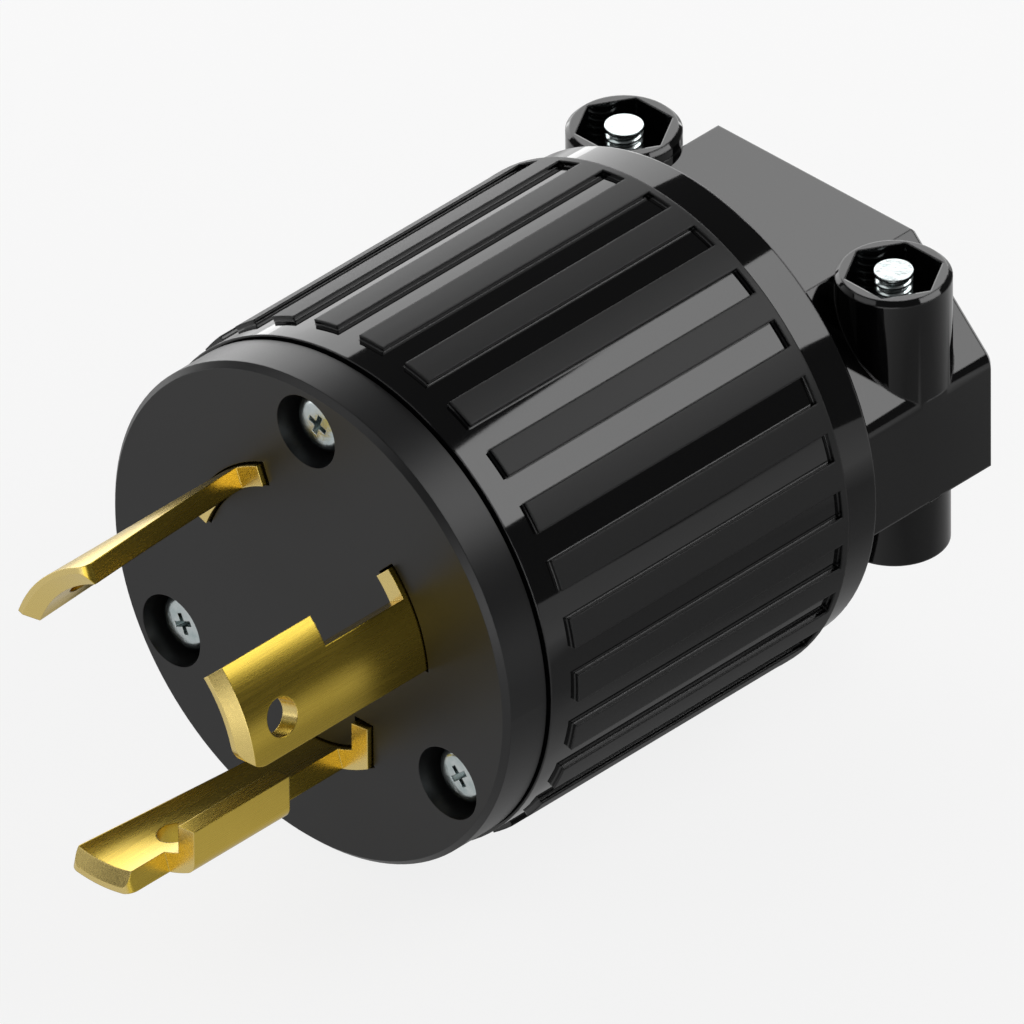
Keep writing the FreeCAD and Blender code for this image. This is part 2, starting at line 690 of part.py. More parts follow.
# Fasteners of the face: three screws and the brass inserts they turn into.
def make_face_fasteners():
    for place, step in (("top", "0"), ("left", "120"), ("right", "240")):
        angle = "(face_screw_angle + %s)" % step
        across, up = on_circle(FACE_SCREWS, angle)
        screw = turned_screw("assembly_screw_" + place, "face_head_radius", "face_head_height",
                             "face_screw_length")
        screw.setExpression("Placement.Base.x", cells(across))
        screw.setExpression("Placement.Base.z", cells(up))
        screw.setExpression("Placement.Base.y", cells("counterbore_depth - face_head_height"))

        insert = new_body("threaded_insert_" + place)
        wall = outline(insert, insert.Name + "_profile", "XY_Plane",
                       rectangle("thread_radius + thread_clearance", "0",
                                 "insert_radius", "insert_length"))
        revolve(insert, "Revolution", insert.Name + "_turned", wall)
        insert.setExpression("Placement.Base.x", cells(across))
        insert.setExpression("Placement.Base.z", cells(up))
        insert.setExpression("Placement.Base.y", cells("%s + post_clearance" % CAP_BACK))


# Clamp fasteners: screws from below, nuts held in the bosses' hexagonal pockets.
def make_clamp_fasteners():
    length = "clamp_screw_end - %s" % HEAD_SEAT
    for side, (across, along) in zip(("right", "left"), BOSS_CENTRES):
        screw = turned_screw("clamp_screw_" + side, "clamp_head_radius", "clamp_head_height",
                             length)
        screw.Placement = FreeCAD.Placement(
            FreeCAD.Vector(), FreeCAD.Rotation(FreeCAD.Vector(1, 0, 0), 90)
        )
        screw.setExpression("Placement.Base.x", cells(across))
        screw.setExpression("Placement.Base.y", cells(along))
        screw.setExpression("Placement.Base.z", cells("%s - clamp_head_height" % HEAD_SEAT))

        nut = new_body("clamp_nut_" + side)
        flats = outline(nut, nut.Name + "_outline", "XY_Plane",
                        hexagon("0", "0", "(nut_pocket_corner - nut_clearance)"))
        extrude(nut, "Pad", nut.Name + "_hexagon", flats, "nut_thickness")
        thread = circles(nut, nut.Name + "_circle", "XY_Plane", [("0", "0")],
                         "thread_radius + thread_clearance", offset=("0", "0", "nut_thickness"))
        extrude(nut, "Pocket", nut.Name + "_bore", thread, "nut_thickness")
        nut.setExpression("Placement.Base.x", cells(across))
        nut.setExpression("Placement.Base.y", cells(along))
        nut.setExpression("Placement.Base.z", cells(NUT_SEAT))


# Terminals: a pressure plate and a screw for each blade, set radially.
def make_terminals():
    for blade in ("line", "neutral", "ground"):
        angle = blade + "_terminal_angle"
        plate = new_body("terminal_plate_" + blade)
        face = outline(plate, plate.Name + "_outline", "YZ_Plane",
                       rectangle("terminal_depth - plate_length / 2", "-plate_width / 2",
                                 "terminal_depth + plate_length / 2", "plate_width / 2"),
                       offset=("0", "0", PLATE_INNER))
        extrude(plate, "Pad", plate.Name + "_pad", face, "plate_thickness")
        hole = circles(plate, plate.Name + "_circle", "YZ_Plane", [("terminal_depth", "0")],
                       "thread_radius + screw_clearance", offset=("0", "0", PLATE_OUTER))
        extrude(plate, "Pocket", plate.Name + "_hole", hole, "plate_thickness")

        screw = new_body("terminal_screw_" + blade)
        seat = "(%s)" % PLATE_OUTER
        profile = outline(screw, screw.Name + "_profile", "XY_Plane", [
            ("%s + terminal_head_height" % seat, "0"),
            ("%s + terminal_head_height" % seat, "terminal_head_radius"),
            (seat, "terminal_head_radius"),
            (seat, "thread_radius"),
            ("%s - terminal_screw_length" % seat, "thread_radius"),
            ("%s - terminal_screw_length" % seat, "0"),
        ], offset=("0", "terminal_depth", "0"))
        revolve(screw, "Revolution", screw.Name + "_turned", profile, axis="H_Axis")
        for body in (plate, screw):
            body.Placement = FreeCAD.Placement(
                FreeCAD.Vector(), FreeCAD.Rotation(FreeCAD.Vector(0, -1, 0), 1.0)
            )
            body.setExpression("Placement.Rotation.Angle", cells(angle))


make_front_cap()
make_shell()
make_jaw()
make_blades()
make_carrier()
make_terminals()
make_face_fasteners()
make_clamp_fasteners()
doc.recompute()

# Nothing is written unless every object is sound.
for item in doc.Objects:
    if "Invalid" in item.State or "Error" in item.State:
        raise RuntimeError("%s is %s" % (item.Name, item.State))
os.makedirs("parts", exist_ok=True)
for body in bodies:
    if body.Shape.isNull() or not body.Shape.isValid():
        raise RuntimeError("%s has no valid shape" % body.Label)
    body.Shape.exportStep("parts/%s.step" % body.Label)
    print(body.Label, len(body.Shape.Solids), round(body.Shape.Volume, 1))
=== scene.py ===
import math

import bmesh
import bpy
from mathutils import Matrix, Vector


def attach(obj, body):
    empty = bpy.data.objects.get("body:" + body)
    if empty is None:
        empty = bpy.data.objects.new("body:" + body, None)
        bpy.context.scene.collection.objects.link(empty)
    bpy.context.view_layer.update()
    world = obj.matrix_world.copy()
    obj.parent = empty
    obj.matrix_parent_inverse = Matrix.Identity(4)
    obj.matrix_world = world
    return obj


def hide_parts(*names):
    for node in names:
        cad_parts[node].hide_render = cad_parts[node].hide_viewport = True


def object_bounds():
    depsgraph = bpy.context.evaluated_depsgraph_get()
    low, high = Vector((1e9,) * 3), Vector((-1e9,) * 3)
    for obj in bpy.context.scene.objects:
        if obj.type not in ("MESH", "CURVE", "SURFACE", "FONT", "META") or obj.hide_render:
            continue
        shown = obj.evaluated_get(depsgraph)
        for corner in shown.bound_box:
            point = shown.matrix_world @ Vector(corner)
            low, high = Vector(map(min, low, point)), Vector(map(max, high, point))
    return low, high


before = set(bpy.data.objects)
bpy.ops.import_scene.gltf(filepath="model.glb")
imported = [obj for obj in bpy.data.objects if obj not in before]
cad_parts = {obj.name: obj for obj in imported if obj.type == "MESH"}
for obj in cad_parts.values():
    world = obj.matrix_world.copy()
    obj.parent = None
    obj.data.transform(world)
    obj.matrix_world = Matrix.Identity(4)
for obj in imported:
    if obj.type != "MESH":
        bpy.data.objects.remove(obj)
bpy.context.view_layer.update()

MM = 0.001

# Housing: the round shell with the upper half of the cord clamp, and the loose
# lower jaw. Both are injection moulded in black nylon from a polished mould;
# only the tops of the grip pads have a fine satin texture.


def linear(hex_colour):
    """A six-figure sRGB hex colour as the linear colour that a shader takes."""
    channels = [int(hex_colour[at:at + 2], 16) / 255 for at in (0, 2, 4)]
    return [c / 12.92 if c <= 0.04045 else ((c + 0.055) / 1.055) ** 2.4 for c in channels] + [1]


def add_node(tree, kind, settings, inputs):
    """Adds one shader node; an input is a number, a colour or another node's socket."""
    node = tree.nodes.new("ShaderNode" + kind)
    for name, setting in settings.items():
        setattr(node, name, setting)
    for name, given in inputs.items():
        if isinstance(given, bpy.types.NodeSocket):
            tree.links.new(given, node.inputs[name])
        else:
            node.inputs[name].default_value = given
    return node


def new_material(name):
    """A new material: its node tree, its surface shader and the piece's own coordinates."""
    material = bpy.data.materials.new(name)
    material.use_nodes = True
    tree = material.node_tree
    shader = tree.nodes["Principled BSDF"]
    place = add_node(tree, "TexCoord", {}, {}).outputs["Object"]
    return material, tree, shader, place


def coat_nodes(material, *names):
    """Gives the named CAD nodes one material all over."""
    for name in names:
        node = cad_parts[name]
        node.data.materials.clear()
        node.data.materials.append(material)
        for polygon in node.data.polygons:
            polygon.material_index = 0


# Glossy nylon: near-black, with a faint ripple that bends what it mirrors. The
# pads' spark-eroded tops stand 25 mm from the axis; all else there is polished. Their
# grit of a few hundredths of a millimetre is drawn at 0.18 mm, so that it shows.
POLISHED = 24.75 * MM
SATIN = 24.9 * MM
housing, tree, shader, place = new_material("moulded black nylon")
shader.inputs["IOR"].default_value = 1.6
tone = add_node(tree, "TexNoise", {}, {"Vector": place, "Scale": 1 / (9 * MM), "Detail": 3.0})
colour = add_node(tree, "Mix", {"data_type": "RGBA"}, {
    "Factor": tone.outputs["Fac"], "A": linear("060607"), "B": linear("0A0A0B")})
tree.links.new(colour.outputs["Result"], shader.inputs["Base Color"])
flat = add_node(tree, "VectorMath", {"operation": "MULTIPLY"}, {0: place, 1: (1, 0, 1)})
radius = add_node(tree, "VectorMath", {"operation": "LENGTH"}, {0: flat.outputs[0]})
satin = add_node(tree, "MapRange", {}, {
    "Value": radius.outputs["Value"], "From Min": POLISHED, "From Max": SATIN})
along = add_node(tree, "SeparateXYZ", {}, {"Vector": place})
barrel = add_node(tree, "Math", {"operation": "LESS_THAN"}, {0: along.outputs["Y"], 1: 42.5 * MM})
pads = add_node(tree, "Math", {"operation": "MULTIPLY"}, {
    0: satin.outputs["Result"], 1: barrel.outputs[0]})
rough = add_node(tree, "MapRange", {}, {
    "Value": pads.outputs[0], "To Min": 0.05, "To Max": 0.54})
tree.links.new(rough.outputs["Result"], shader.inputs["Roughness"])
ripple = add_node(tree, "TexNoise", {}, {"Vector": place, "Scale": 1 / (2.5 * MM), "Detail": 1.0})
grit = add_node(tree, "TexNoise", {}, {"Vector": place, "Scale": 1 / (0.18 * MM), "Detail": 2.0})
height = add_node(tree, "Mix", {"data_type": "FLOAT"}, {
    "Factor": pads.outputs[0], "A": ripple.outputs["Fac"], "B": grit.outputs["Fac"]})
rounded = add_node(tree, "Bevel", {"samples": 6}, {"Radius": 0.26 * MM})
bump = add_node(tree, "Bump", {}, {
    "Height": height.outputs["Result"], "Strength": 0.05, "Distance": 0.02 * MM,
    "Normal": rounded.outputs["Normal"]})
tree.links.new(bump.outputs["Normal"], shader.inputs["Normal"])
coat_nodes(housing, "body_shell", "clamp_jaw")

# Front cap: a separate disc of charcoal nylon with a fine matte mould texture,
# screwed to the shell. It mirrors the brass blades only as a soft brown haze. The
# grain is drawn a little coarser than the real one, at 0.12 mm.
charcoal, tree, shader, place = new_material("matte charcoal nylon")
shader.inputs["IOR"].default_value = 1.53
tone = add_node(tree, "TexNoise", {}, {"Vector": place, "Scale": 1 / (6 * MM), "Detail": 4.0})
colour = add_node(tree, "Mix", {"data_type": "RGBA"}, {
    "Factor": tone.outputs["Fac"], "A": linear("121213"), "B": linear("171718")})
tree.links.new(colour.outputs["Result"], shader.inputs["Base Color"])
grain = add_node(tree, "TexNoise", {}, {"Vector": place, "Scale": 1 / (0.12 * MM), "Detail": 3.0})
rough = add_node(tree, "MapRange", {}, {
    "Value": grain.outputs["Fac"], "To Min": 0.33, "To Max": 0.43})
tree.links.new(rough.outputs["Result"], shader.inputs["Roughness"])
rounded = add_node(tree, "Bevel", {"samples": 6}, {"Radius": 0.12 * MM})
bump = add_node(tree, "Bump", {}, {
    "Height": grain.outputs["Fac"], "Strength": 0.1, "Distance": 0.02 * MM,
    "Normal": rounded.outputs["Normal"]})
tree.links.new(bump.outputs["Normal"], shader.inputs["Normal"])
coat_nodes(charcoal, "front_cap")

# Terminal carrier: plain black nylon inside the shell, as it comes from the mould.
inner, tree, shader, place = new_material("plain black nylon")
shader.inputs["IOR"].default_value = 1.53
flow = add_node(tree, "TexNoise", {}, {"Vector": place, "Scale": 1 / (4 * MM), "Detail": 4.0})
colour = add_node(tree, "Mix", {"data_type": "RGBA"}, {
    "Factor": flow.outputs["Fac"], "A": linear("161617"), "B": linear("202022")})
tree.links.new(colour.outputs["Result"], shader.inputs["Base Color"])
rough = add_node(tree, "MapRange", {}, {"Value": flow.outputs["Fac"], "To Min": 0.4, "To Max": 0.6})
tree.links.new(rough.outputs["Result"], shader.inputs["Roughness"])
coat_nodes(inner, "terminal_carrier")

# Blades, line terminal and inserts: the blades are stamped from rolled brass sheet
# and bent to the blade circle. Rolling lines run along them under a thin clear
# lacquer. Faces that look forward get a paler colour, a painted highlight.
brass, tree, shader, place = new_material("rolled brass")
shader.inputs["Metallic"].default_value = 1.0
shader.inputs["Coat Weight"].default_value = 0.3
shader.inputs["Coat Roughness"].default_value = 0.2
stretch = add_node(tree, "Mapping", {}, {"Vector": place, "Scale": (1, 0.04, 1)})
lines = add_node(tree, "TexNoise", {}, {
    "Vector": stretch.outputs["Vector"], "Scale": 1 / (0.25 * MM), "Detail": 3.0})
cloud = add_node(tree, "TexNoise", {}, {"Vector": place, "Scale": 1 / (5 * MM), "Detail": 3.0})
colour = add_node(tree, "Mix", {"data_type": "RGBA"}, {
    "Factor": cloud.outputs["Fac"], "A": linear("CEB03C"), "B": linear("DCBE4C")})
surface = add_node(tree, "NewGeometry", {}, {})
# Painted highlight: faces turned forward, towards -Y, take the paler brass colour F6DC8C.
facing = add_node(tree, "VectorMath", {"operation": "DOT_PRODUCT"}, {
    0: surface.outputs["Normal"], 1: (0, -1, 0)})
forward_painted_highlight = add_node(tree, "MapRange", {}, {
    "Value": facing.outputs["Value"], "From Min": 0.7, "From Max": 0.9})
metal = add_node(tree, "Mix", {"data_type": "RGBA"}, {
    "Factor": forward_painted_highlight.outputs["Result"], "A": colour.outputs["Result"], "B": linear("F6DC8C")})
tree.links.new(metal.outputs["Result"], shader.inputs["Base Color"])
rough = add_node(tree, "MapRange", {}, {
    "Value": lines.outputs["Fac"], "To Min": 0.2, "To Max": 0.34})
tree.links.new(rough.outputs["Result"], shader.inputs["Roughness"])
rounded = add_node(tree, "Bevel", {"samples": 6}, {"Radius": 0.15 * MM})
bump = add_node(tree, "Bump", {}, {
    "Height": lines.outputs["Fac"], "Strength": 0.12, "Distance": 0.02 * MM,
    "Normal": rounded.outputs["Normal"]})
tree.links.new(bump.outputs["Normal"], shader.inputs["Normal"])
coat_nodes(brass, "line_blade", "neutral_blade", "ground_blade",
           "terminal_plate_line", "terminal_screw_line",
           "threaded_insert_top", "threaded_insert_left", "threaded_insert_right")

# Nuts, terminal plates and screws: plated steel, bright zinc with a faint blue cast.
# Tumbling in the plating barrel has left it mottled and very slightly dented.
zinc, tree, shader, place = new_material("zinc plated steel")
shader.inputs["Metallic"].default_value = 1.0
spangle = add_node(tree, "TexNoise", {}, {"Vector": place, "Scale": 1 / (1.2 * MM), "Detail": 4.0})
colour = add_node(tree, "Mix", {"data_type": "RGBA"}, {
    "Factor": spangle.outputs["Fac"], "A": linear("A9BDBE"), "B": linear("F4F7F7")})
tree.links.new(colour.outputs["Result"], shader.inputs["Base Color"])
rough = add_node(tree, "MapRange", {}, {
    "Value": spangle.outputs["Fac"], "To Min": 0.12, "To Max": 0.3})
tree.links.new(rough.outputs["Result"], shader.inputs["Roughness"])
dents = add_node(tree, "TexNoise", {}, {"Vector": place, "Scale": 1 / (0.9 * MM), "Detail": 2.0})
rounded = add_node(tree, "Bevel", {"samples": 6}, {"Radius": 0.12 * MM})
bump = add_node(tree, "Bump", {}, {
    "Height": dents.outputs["Fac"], "Strength": 0.3, "Distance": 0.1 * MM,
    "Normal": rounded.outputs["Normal"]})
tree.links.new(bump.outputs["Normal"], shader.inputs["Normal"])
coat_nodes(zinc, "clamp_nut_left", "clamp_nut_right", "terminal_plate_neutral",
           "terminal_plate_ground", "terminal_screw_neutral")

# Ground terminal screw: the same plated steel with the green dye that marks it.
green, tree, shader, place = new_material("green dyed zinc")
shader.inputs["Metallic"].default_value = 1.0
dye = add_node(tree, "TexNoise", {}, {"Vector": place, "Scale": 1 / (1.5 * MM), "Detail": 3.0})
colour = add_node(tree, "Mix", {"data_type": "RGBA"}, {
    "Factor": dye.outputs["Fac"], "A": linear("1F6B35"), "B": linear("2F8A48")})
tree.links.new(colour.outputs["Result"], shader.inputs["Base Color"])
rough = add_node(tree, "MapRange", {}, {"Value": dye.outputs["Fac"], "To Min": 0.25, "To Max": 0.4})
tree.links.new(rough.outputs["Result"], shader.inputs["Roughness"])
coat_nodes(green, "terminal_screw_ground")


# Face screws: three cold-headed steel screws with a low domed head and a cross
# recess. Each holds the cap to an insert in the shell, sunk at the bottom of its hole.
SMOOTH_ANGLE = math.radians(30)


def alone(piece):
    """Makes one piece active and the only one selected, in object mode."""
    if bpy.context.object and bpy.context.object.mode == "EDIT":
        bpy.ops.object.mode_set(mode="OBJECT")
    bpy.ops.object.select_all(action="DESELECT")
    piece.select_set(True)
    bpy.context.view_layer.objects.active = piece


def edit(piece, kind, action="DESELECT"):
    """Opens one piece alone in edit mode, with nothing or all of it selected."""
    alone(piece)
    bpy.ops.object.mode_set(mode="EDIT")
    bpy.ops.mesh.select_mode(type=kind)
    bpy.ops.mesh.select_all(action=action)


def pick_faces(piece, test):
    """Selects the faces whose centre and normal pass the test."""
    edit(piece, "FACE")
    mesh = bmesh.from_edit_mesh(piece.data)
    for face in mesh.faces:
        face.select_set(bool(test(face.calc_center_median(), face.normal)))
    bmesh.update_edit_mesh(piece.data)


def place_mesh(piece, turns, move=(0, 0, 0)):
    """Turns a piece's whole mesh about the origin, axis by axis in degrees, and moves it."""
    edit(piece, "VERT", "SELECT")
    for axis, angle in turns:
        bpy.ops.transform.rotate(
            value=math.radians(angle), orient_axis=axis, orient_type="GLOBAL",
            center_override=(0, 0, 0))
    bpy.ops.transform.translate(value=move)
    bpy.ops.object.mode_set(mode="OBJECT")


def recessed_screw(head, crown, shank, recess):
    """A screw with its head up and the crown at height 0: a turned blank, cut with a cross.

    head is its radius and height, crown the rounding of its edge, shank its radius and
    how deep it ends, and recess the cross's length, width and depth.
    """
    head_radius, head_height = head
    shank_radius, shank_end = shank
    length, width, depth = recess
    bpy.ops.object.select_all(action="DESELECT")
    bpy.ops.mesh.primitive_cylinder_add(
        vertices=48, radius=head_radius, depth=head_height, location=(0, 0, -head_height / 2))
    bpy.ops.object.transform_apply()
    piece = bpy.context.object
    pick_faces(piece, lambda centre, normal: normal.z > 0.9)
    bpy.ops.mesh.bevel(offset=crown, segments=6, affect="EDGES")
    pick_faces(piece, lambda centre, normal: normal.z < -0.9)
    bpy.ops.mesh.inset(thickness=head_radius - shank_radius)
    bpy.ops.mesh.extrude_region_move(
        TRANSFORM_OT_translate={"value": (0, 0, head_height - shank_end)})
    bpy.ops.object.mode_set(mode="OBJECT")
    taper = (0.35, 0.7, 1)
    for angle in (0, 90):
        bpy.ops.object.select_all(action="DESELECT")
        bpy.ops.mesh.primitive_cube_add(
            size=1, location=(0, 0, 0), scale=(length, width, 2 * depth))
        bpy.ops.object.transform_apply()
        wing = bpy.context.object
        pick_faces(wing, lambda centre, normal: normal.z < -0.9)
        bpy.ops.transform.resize(value=taper)
        place_mesh(wing, [("Z", angle)])
        alone(piece)
        cut = piece.modifiers.new("recess", "BOOLEAN")
        cut.operation = "DIFFERENCE"
        cut.object = wing
        bpy.ops.object.modifier_apply(modifier=cut.name)
        bpy.data.objects.remove(wing)
    return piece


def separate_copy(source, name):
    """A linked-in copy of an object, with a mesh of its own."""
    piece = source.copy()
    piece.data = source.data.copy()
    piece.name = name
    bpy.context.scene.collection.objects.link(piece)
    return piece


def fasten(model, name, turns, move, node):
    """Sets a copy of a screw in the place of the node that stands for it."""
    piece = separate_copy(model, name)
    place_mesh(piece, turns, move)
    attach(piece, "root")
    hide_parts(node)


SHANK_RADIUS = 1.745 * MM
SCREW_CIRCLE = 19.5 * MM
CROWN_TOP = 1.4 * MM  # how far the crown lies behind the cap's face
model = recessed_screw(
    head=(2.9 * MM, 2.2 * MM), crown=1.1 * MM, shank=(SHANK_RADIUS, 18.0 * MM),
    recess=(3.1 * MM, 0.6 * MM, 1.5 * MM))
bpy.ops.object.shade_smooth_by_angle(angle=SMOOTH_ANGLE)
model.data.materials.append(zinc)
for side, around, driven in (("top", 90, 20), ("left", 210, 65), ("right", 330, 50)):
    across = SCREW_CIRCLE * math.cos(math.radians(around))
    up = SCREW_CIRCLE * math.sin(math.radians(around))
    fasten(model, "face_screw_" + side, [("Z", driven), ("X", -90)],
           (across, CROWN_TOP, up), "assembly_screw_" + side)
bpy.data.objects.remove(model)

# Clamp screws: two long plated steel screws, driven up from the lower jaw into the
# nuts. The blank has a head and a plain shank. One tooth of the rolled thread is
# drawn in section and wound up, and the thread ends in a flat cut disc.
BOSS_ACROSS = 16.45 * MM
BOSS_ALONG = 56.9 * MM
HEAD_FACE = -11.7 * MM
THREAD_START = 5.0 * MM
SCREW_END = 16.1 * MM
RUN_OUT = 0.3 * MM
PITCH = 0.79 * MM
TOOTH = 0.36 * MM  # the thread's depth
SAME_PLACE = 0.001 * MM  # vertices closer than this are merged
ON_THE_CUT = 0.0001 * MM  # and closer to a cut's plane than this are taken as on it
TOOTH_STEPS = ((0.7, 0.14), (0.3, 0.16), (0, 0.2), (-0.3, 0.16), (-0.7, 0.14), (0, 0.2))
model = recessed_screw(
    head=(3.4 * MM, 2.1 * MM), crown=0.8 * MM, shank=(SHANK_RADIUS, THREAD_START - HEAD_FACE),
    recess=(3.8 * MM, 1.0 * MM, 1.3 * MM))
place_mesh(model, [("X", 180)], (0, 0, HEAD_FACE))
bpy.ops.object.select_all(action="DESELECT")
bpy.ops.mesh.primitive_plane_add(
    size=0.1 * MM, location=(SHANK_RADIUS - TOOTH, 0, THREAD_START - 1.5 * PITCH))
bpy.ops.object.transform_apply()
thread = bpy.context.object
edit(thread, "VERT", "SELECT")
bpy.ops.mesh.merge(type="CENTER")
for outward, upward in TOOTH_STEPS:
    bpy.ops.mesh.extrude_region_move(
        TRANSFORM_OT_translate={"value": (outward * TOOTH, 0, upward * PITCH)})
bpy.ops.object.mode_set(mode="OBJECT")
wind = thread.modifiers.new("wind", "SCREW")
wind.axis = "Z"
wind.steps = 36
wind.iterations = 18
wind.screw_offset = PITCH
bpy.ops.object.modifier_apply(modifier=wind.name)
edit(thread, "VERT", "SELECT")
bpy.ops.mesh.remove_doubles(threshold=SAME_PLACE)
bpy.ops.mesh.bisect(
    plane_co=(0, 0, SCREW_END - RUN_OUT / 2), plane_no=(0, 0, 1), threshold=ON_THE_CUT,
    use_fill=True, clear_outer=True)
bpy.ops.mesh.select_all(action="SELECT")
bpy.ops.mesh.bisect(
    plane_co=(0, 0, THREAD_START), plane_no=(0, 0, 1), threshold=ON_THE_CUT,
    use_fill=True, clear_inner=True)
bpy.ops.mesh.select_all(action="SELECT")
bpy.ops.mesh.normals_make_consistent(inside=False)
bpy.ops.object.mode_set(mode="OBJECT")
bpy.ops.object.select_all(action="DESELECT")
bpy.ops.mesh.primitive_cylinder_add(
    vertices=48, radius=SHANK_RADIUS, depth=RUN_OUT, location=(0, 0, SCREW_END - RUN_OUT / 2))
bpy.ops.object.transform_apply()
thread.select_set(True)
model.select_set(True)
bpy.context.view_layer.objects.active = model
bpy.ops.object.join()
bpy.ops.object.shade_smooth_by_angle(angle=SMOOTH_ANGLE)
model.data.materials.append(zinc)
for side, across in (("left", -BOSS_ACROSS), ("right", BOSS_ACROSS)):
    fasten(model, "threaded_screw_" + side, [("Z", 30)], (across, BOSS_ALONG, 0),
           "clamp_screw_" + side)
bpy.data.objects.remove(model)

# Shell: below the clamp's shoulder the moulded side wall runs on flat under each nut
# boss. The shell is copied and merged, and the boss is pressed back into the wall there.
SIDE = 21.4 * MM
SHOULDER = 5.1 * MM
PRESSED_BELOW = 4.9 * MM
BOSS_REACH = 2.0 * MM  # half the length of the strip in which a boss stands proud


def pick_vertices(piece, test):
    """Selects the vertices whose place passes the test."""
    edit(piece, "VERT")
    mesh = bmesh.from_edit_mesh(piece.data)
    for vertex in mesh.verts:
        vertex.select_set(bool(test(vertex.co)))
    mesh.select_flush(True)
    bmesh.update_edit_mesh(piece.data)


shell = separate_copy(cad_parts["body_shell"], "moulded_shell")
alone(shell)
bpy.ops.mesh.customdata_custom_splitnormals_clear()
edit(shell, "VERT", "SELECT")
bpy.ops.mesh.remove_doubles(threshold=SAME_PLACE)
for height in (SHOULDER, PRESSED_BELOW):
    pick_faces(shell, lambda centre, normal: abs(centre.x) > SIDE + 2 * SAME_PLACE
               and abs(centre.y - BOSS_ALONG) < BOSS_REACH and abs(normal.z) < 0.1)
    bpy.ops.mesh.bisect(plane_co=(0, 0, height), plane_no=(0, 0, 1), threshold=ON_THE_CUT)
for sign in (-1, 1):
    pick_vertices(shell, lambda point: sign * point.x > SIDE
                  and abs(point.y - BOSS_ALONG) < BOSS_REACH
                  and point.z < (SHOULDER + PRESSED_BELOW) / 2)
    bpy.ops.transform.resize(value=(0, 1, 1), center_override=(sign * SIDE, 0, 0))
bpy.ops.object.mode_set(mode="OBJECT")
bpy.ops.object.shade_smooth_by_angle(angle=SMOOTH_ANGLE)
flats = shell.modifiers.new("flats", "WEIGHTED_NORMAL")
flats.keep_sharp = True
flats.weight = 100
bpy.ops.object.modifier_apply(modifier=flats.name)
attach(shell, "root")
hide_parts("body_shell")

# Floor: a plain sheet of white paper under the plug, wide enough to fill the view.
# What the camera sees of it is mostly its own white. Glossy surfaces mirror a painted
# glow: a painted shadow to the plug's right, and painted light ahead and to the left.
# Painted shadow: an oval where the floor's glow for mirrors is dim, beside the plug's right.
PAINTED_SHADOW_SPOT = (58 * MM, 60 * MM)
PAINTED_SHADOW_SHAPE = (0.75, 0.55)
CLEARANCE = 0.05 * MM
floor_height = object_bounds()[0][2] - CLEARANCE
bpy.ops.object.select_all(action="DESELECT")
bpy.ops.mesh.primitive_plane_add(size=1.6, location=(0, 0, floor_height))
floor = bpy.context.object
floor.name = "floor"
paper, tree, shader, place = new_material("white paper sweep")
shader.inputs["Base Color"].default_value = linear("F2F2F2")
shader.inputs["Roughness"].default_value = 0.9
shader.inputs["Specular IOR Level"].default_value = 0.0
rays = add_node(tree, "LightPath", {}, {})
mirror = add_node(tree, "Math", {"operation": "MAXIMUM"}, {
    0: rays.outputs["Is Glossy Ray"], 1: rays.outputs["Is Transmission Ray"]})
seen = add_node(tree, "Math", {"operation": "MAXIMUM"}, {
    0: rays.outputs["Is Camera Ray"], 1: mirror.outputs[0]})
share = add_node(tree, "Math", {"operation": "MULTIPLY"}, {0: seen.outputs[0], 1: 0.85})
shade = add_node(tree, "Mapping", {}, {
    "Vector": place, "Scale": (*PAINTED_SHADOW_SHAPE, 0),
    "Location": (-PAINTED_SHADOW_SPOT[0] * PAINTED_SHADOW_SHAPE[0], -PAINTED_SHADOW_SPOT[1] * PAINTED_SHADOW_SHAPE[1], 0)})
apart = add_node(tree, "VectorMath", {"operation": "LENGTH"}, {0: shade.outputs["Vector"]})
near = add_node(tree, "MapRange", {}, {
    "Value": apart.outputs["Value"], "From Min": 15 * MM, "From Max": 45 * MM,
    "To Min": 0.17, "To Max": 0.6})
along = add_node(tree, "SeparateXYZ", {}, {"Vector": place})
# Painted light: the floor's glow for mirrors rises ahead of the plug and to its left.
ahead = add_node(tree, "MapRange", {}, {
    "Value": along.outputs["Y"], "From Min": -50 * MM, "From Max": -200 * MM, "To Max": 1.4})
aside = add_node(tree, "MapRange", {}, {
    "Value": along.outputs["X"], "From Min": -70 * MM, "From Max": -160 * MM, "To Max": 1.6})
painted_light_open = add_node(tree, "Math", {"operation": "MAXIMUM"}, {
    0: ahead.outputs["Result"], 1: aside.outputs["Result"]})
mirrored = add_node(tree, "Math", {"operation": "MAXIMUM"}, {
    0: near.outputs["Result"], 1: painted_light_open.outputs[0]})
painted_glow_strength = add_node(tree, "Math", {"operation": "MAXIMUM"}, {
    0: mirrored.outputs[0], 1: rays.outputs["Is Camera Ray"]})
white = add_node(tree, "Emission", {}, {"Color": linear("FFFFFF"), "Strength": painted_glow_strength.outputs[0]})
mixed = add_node(tree, "MixShader", {}, {
    0: share.outputs[0], 1: shader.outputs[0], 2: white.outputs[0]})
tree.links.new(mixed.outputs[0], tree.nodes["Material Output"].inputs["Surface"])
floor.data.materials.append(paper)

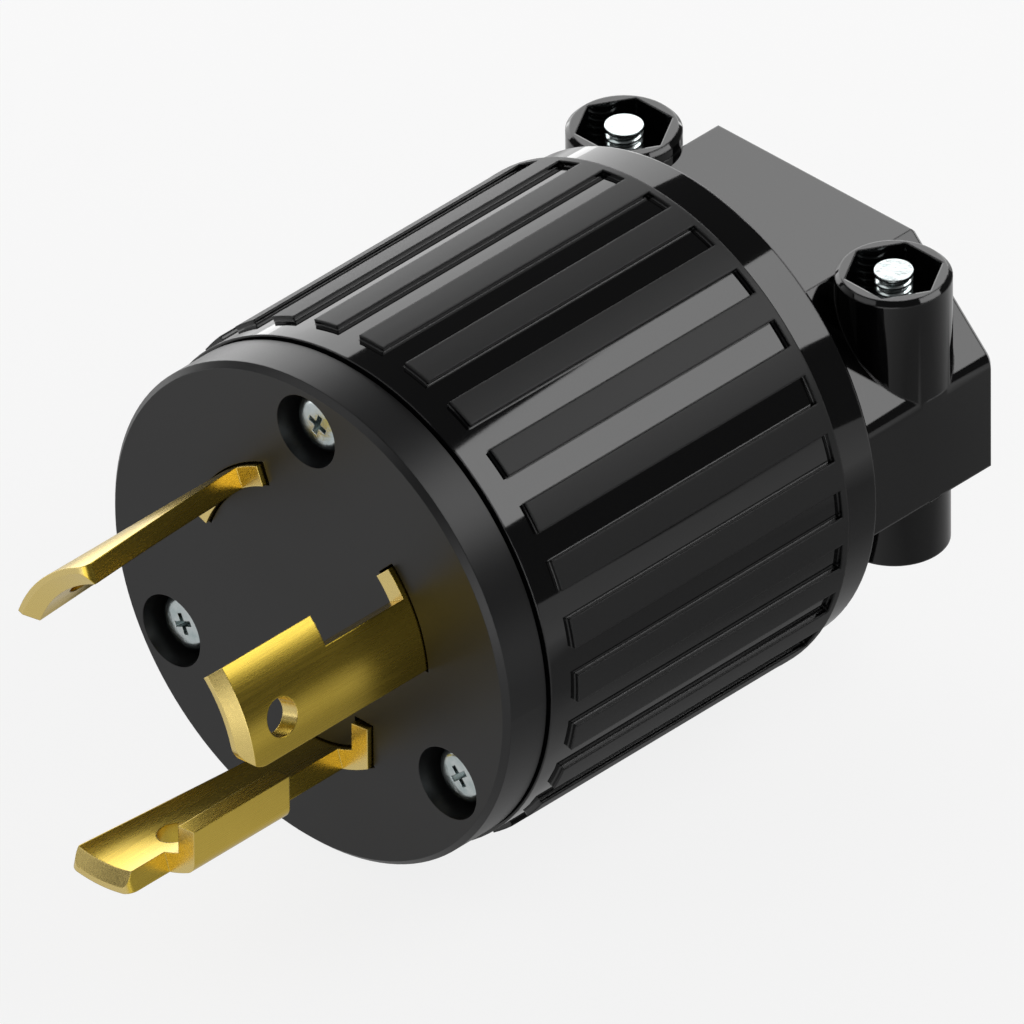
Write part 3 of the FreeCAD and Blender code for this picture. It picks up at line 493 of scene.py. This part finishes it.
# Light: a dim room behind white paper, an oval softbox over the right rear, a wide
# one along the left rear, a soft fill from the front left and a card to the right.
world = bpy.data.worlds.new("dim studio")
bpy.context.scene.world = world
world.use_nodes = True
backdrop = world.node_tree.nodes["Background"]
backdrop.inputs["Color"].default_value = linear("FFFFFF")
ROOM_LEVEL = 0.07
view_rays = add_node(world.node_tree, "LightPath", {}, {})
room = add_node(world.node_tree, "Math", {"operation": "MAXIMUM"}, {
    0: view_rays.outputs["Is Camera Ray"], 1: ROOM_LEVEL})
world.node_tree.links.new(room.outputs[0], backdrop.inputs["Strength"])


def softbox(name, shape, width, depth, radiance, direction, distance):
    """An area lamp of a given radiance, at a distance from the middle of the barrel."""
    lamp = bpy.data.lights.new(name, "AREA")
    lamp.shape = shape
    lamp.size = width
    lamp.size_y = depth
    area = width * depth * (math.pi / 4 if shape == "ELLIPSE" else 1)
    lamp.energy = radiance * area * math.pi
    holder = bpy.data.objects.new(name, lamp)
    bpy.context.scene.collection.objects.link(holder)
    way = Vector(direction).normalized()
    holder.location = BARREL_MIDDLE + way * distance
    holder.rotation_euler = (-way).to_track_quat("-Z", "Y").to_euler()


BARREL_MIDDLE = Vector((0, 25 * MM, 0))
softbox("right rear softbox", "ELLIPSE", 0.16, 0.115, 2.95, (0.47, 0.56, 0.655), 0.22)
softbox("left rear softbox", "RECTANGLE", 0.5, 0.32, 2.15, (-0.78, 0.58, 0.18), 0.3)
softbox("front fill", "RECTANGLE", 0.6, 0.6, 0.8, (-0.45, -0.7, 0.6), 0.7)
softbox("front right card", "RECTANGLE", 0.25, 0.15, 1.6, (0.62, -0.77, 0.13), 0.35)

# Camera: a long lens from the front right and above, as in the photograph.
AZIMUTH, ELEVATION, ROLL = math.radians(44.395), math.radians(34.713), math.radians(-0.485)
AIM = Vector((0.912, 24.64, -0.958)) * MM
DISTANCE = 3.7425
lens = bpy.data.cameras.new("camera")
lens.lens = 1500
lens.sensor_width = 36
lens.clip_start = 0.5
lens.clip_end = 20
camera = bpy.data.objects.new("camera", lens)
bpy.context.scene.collection.objects.link(camera)
turn = (Matrix.Rotation(AZIMUTH, 3, "Z") @ Matrix.Rotation(math.pi / 2 - ELEVATION, 3, "X")
        @ Matrix.Rotation(ROLL, 3, "Z"))
camera.rotation_euler = turn.to_euler()
camera.location = AIM + turn @ Vector((0, 0, DISTANCE))
bpy.context.scene.camera = camera
bpy.context.scene.view_settings.view_transform = "Standard"
